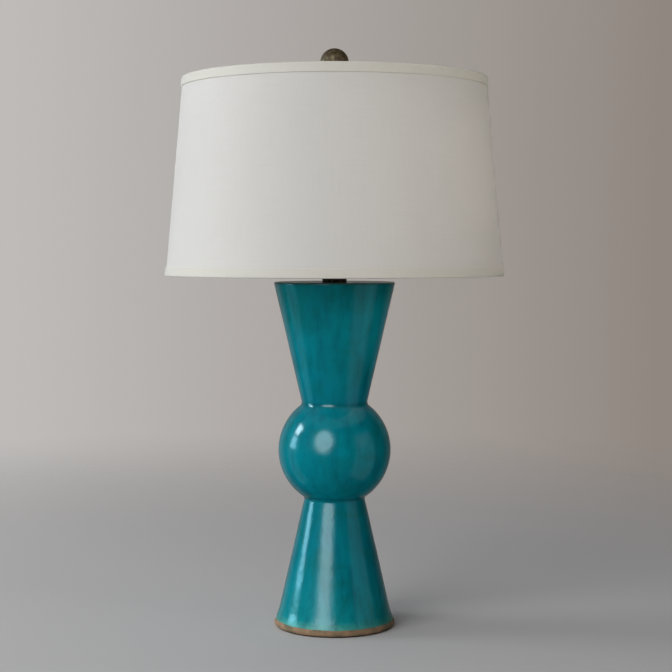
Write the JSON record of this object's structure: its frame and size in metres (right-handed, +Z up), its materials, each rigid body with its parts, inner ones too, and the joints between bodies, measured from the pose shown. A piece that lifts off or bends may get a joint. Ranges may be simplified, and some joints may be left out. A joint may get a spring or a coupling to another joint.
{
  "type": "table lamp",
  "caption": "Table lamp: a glazed cone-ball-cone ceramic body on a felted foot, with a turn-knob bulb socket, harp, lift-off tapered drum shade on a spider fitter and a screw-down ball finial.",
  "frame": {"origin": "centre of the felt pad's underside, on the lamp's axis, on the table", "axes": "+Z up along the lamp's axis; -Y is the front, +Y the back where the cord bushing is; +X to the right of someone facing the front"},
  "size_m": [0.4567, 0.4568, 0.7817],
  "materials": {
    "base_felt": "pressed wool felt, dark brown",
    "reactive_glaze": "glossy teal glaze over stoneware, bare clay foot",
    "plated_steel": "zinc plated sheet",
    "hardware_brass": "turned, unlacquered",
    "bushing_plastic": "moulded nylon",
    "antique_bronze": "dark antique bronze",
    "antique_brass": "stamped, antique plated",
    "fibre_liner": "vulcanised fibre",
    "phenolic": "moulded phenolic",
    "nickel_shell": "drawn shell",
    "knob_plastic": "moulded black",
    "solder_contact": "soldered eyelet",
    "bulb_plastic": "moulded white",
    "bulb_diffuser": "frosted diffuser",
    "styrene_liner": "styrene backing sheet",
    "shade_linen": "off-white linen",
    "shade_trim": "self trim, folded",
    "shade_wire": "white coated wire",
    "finial_bronze": "mottled antique bronze"
  },
  "bodies": {
    "base": {"felt_pad": "base_felt", "ceramic_body": "reactive_glaze", "bottom_plate": "plated_steel", "flat_washer": "plated_steel", "lock_washer": "plated_steel", "pipe_nut": "hardware_brass", "lamp_pipe": "plated_steel", "cord_bushing": "bushing_plastic", "neck_collar": "antique_bronze", "check_ring": "antique_bronze", "harp_saddle": "antique_brass", "pipe_locknut": "hardware_brass", "socket_cap": "antique_brass", "socket_set_screw": "plated_steel", "socket_shell": "antique_brass", "socket_liner": "fibre_liner", "socket_core": "phenolic", "terminal_screws": "hardware_brass", "screw_shell": "nickel_shell", "centre_contact": "hardware_brass"},
    "switch": {"switch_shaft": "hardware_brass", "switch_knob": "knob_plastic"},
    "bulb_tip": {"bulb_contact": "solder_contact"},
    "bulb": {"bulb_screw_cap": "nickel_shell", "bulb_housing": "bulb_plastic", "bulb_dome": "bulb_diffuser"},
    "harp_frame": {"harp": "antique_brass"},
    "ferrule_left": {"harp_ferrule_left": "antique_brass"},
    "ferrule_right": {"harp_ferrule_right": "antique_brass"},
    "stud": {"swivel_stud": "antique_brass"},
    "shade": {"shade_liner": "styrene_liner", "shade_fabric": "shade_linen", "shade_seam": "shade_linen", "top_trim": "shade_trim", "bottom_trim": "shade_trim", "top_ring": "shade_wire", "bottom_ring": "shade_wire", "spider_arms": "shade_wire", "spider_hub": "antique_brass"},
    "finial_seat": {"finial_washer": "antique_brass"},
    "finial": {"finial_neck": "antique_bronze", "finial_ball": "finial_bronze"}
  },
  "joints": [
    {"name": "switch_turn", "type": "hinge", "parent": "base", "child": "switch", "pos_m": [0, -0.0185, 0.51502], "axis": [0, -1, 0], "continuous": true},
    {"name": "bulb_lift", "type": "slide", "parent": "base", "child": "bulb_tip", "axis": [0, 0, 1], "range_m": [0, 0.0236]},
    {"name": "bulb_turn", "type": "hinge", "parent": "bulb_tip", "child": "bulb", "pos_m": [0, 0, 0.56], "axis": [0, 0, 1], "range_deg": [0, 2340]},
    {"name": "harp_lift", "type": "slide", "parent": "base", "child": "harp_frame", "axis": [0, 0, 1], "range_m": [0, 0.03]},
    {"name": "ferrule_left_slide", "type": "slide", "parent": "harp_frame", "child": "ferrule_left", "axis": [0, 0, 1], "range_m": [0, 0.02]},
    {"name": "ferrule_right_slide", "type": "slide", "parent": "harp_frame", "child": "ferrule_right", "axis": [0, 0, 1], "range_m": [0, 0.02]},
    {"name": "shade_turn", "type": "hinge", "parent": "harp_frame", "child": "stud", "pos_m": [0, 0, 0.7255], "axis": [0, 0, 1], "continuous": true},
    {"name": "shade_lift", "type": "slide", "parent": "stud", "child": "shade", "axis": [0, 0, 1], "range_m": [0, 0.28]},
    {"name": "finial_lift", "type": "slide", "parent": "shade", "child": "finial_seat", "axis": [0, 0, 1], "range_m": [0, 0.01224]},
    {"name": "finial_turn", "type": "hinge", "parent": "finial_seat", "child": "finial", "pos_m": [0, 0, 0.7624], "axis": [0, 0, 1], "range_deg": [0, 4680]}
  ],
  "couplings": [
    {"joint": "bulb_lift", "follows": "bulb_turn", "m_per_rad": 0.00057751},
    {"joint": "finial_lift", "follows": "finial_turn", "m_per_rad": 0.00014972}
  ]
}
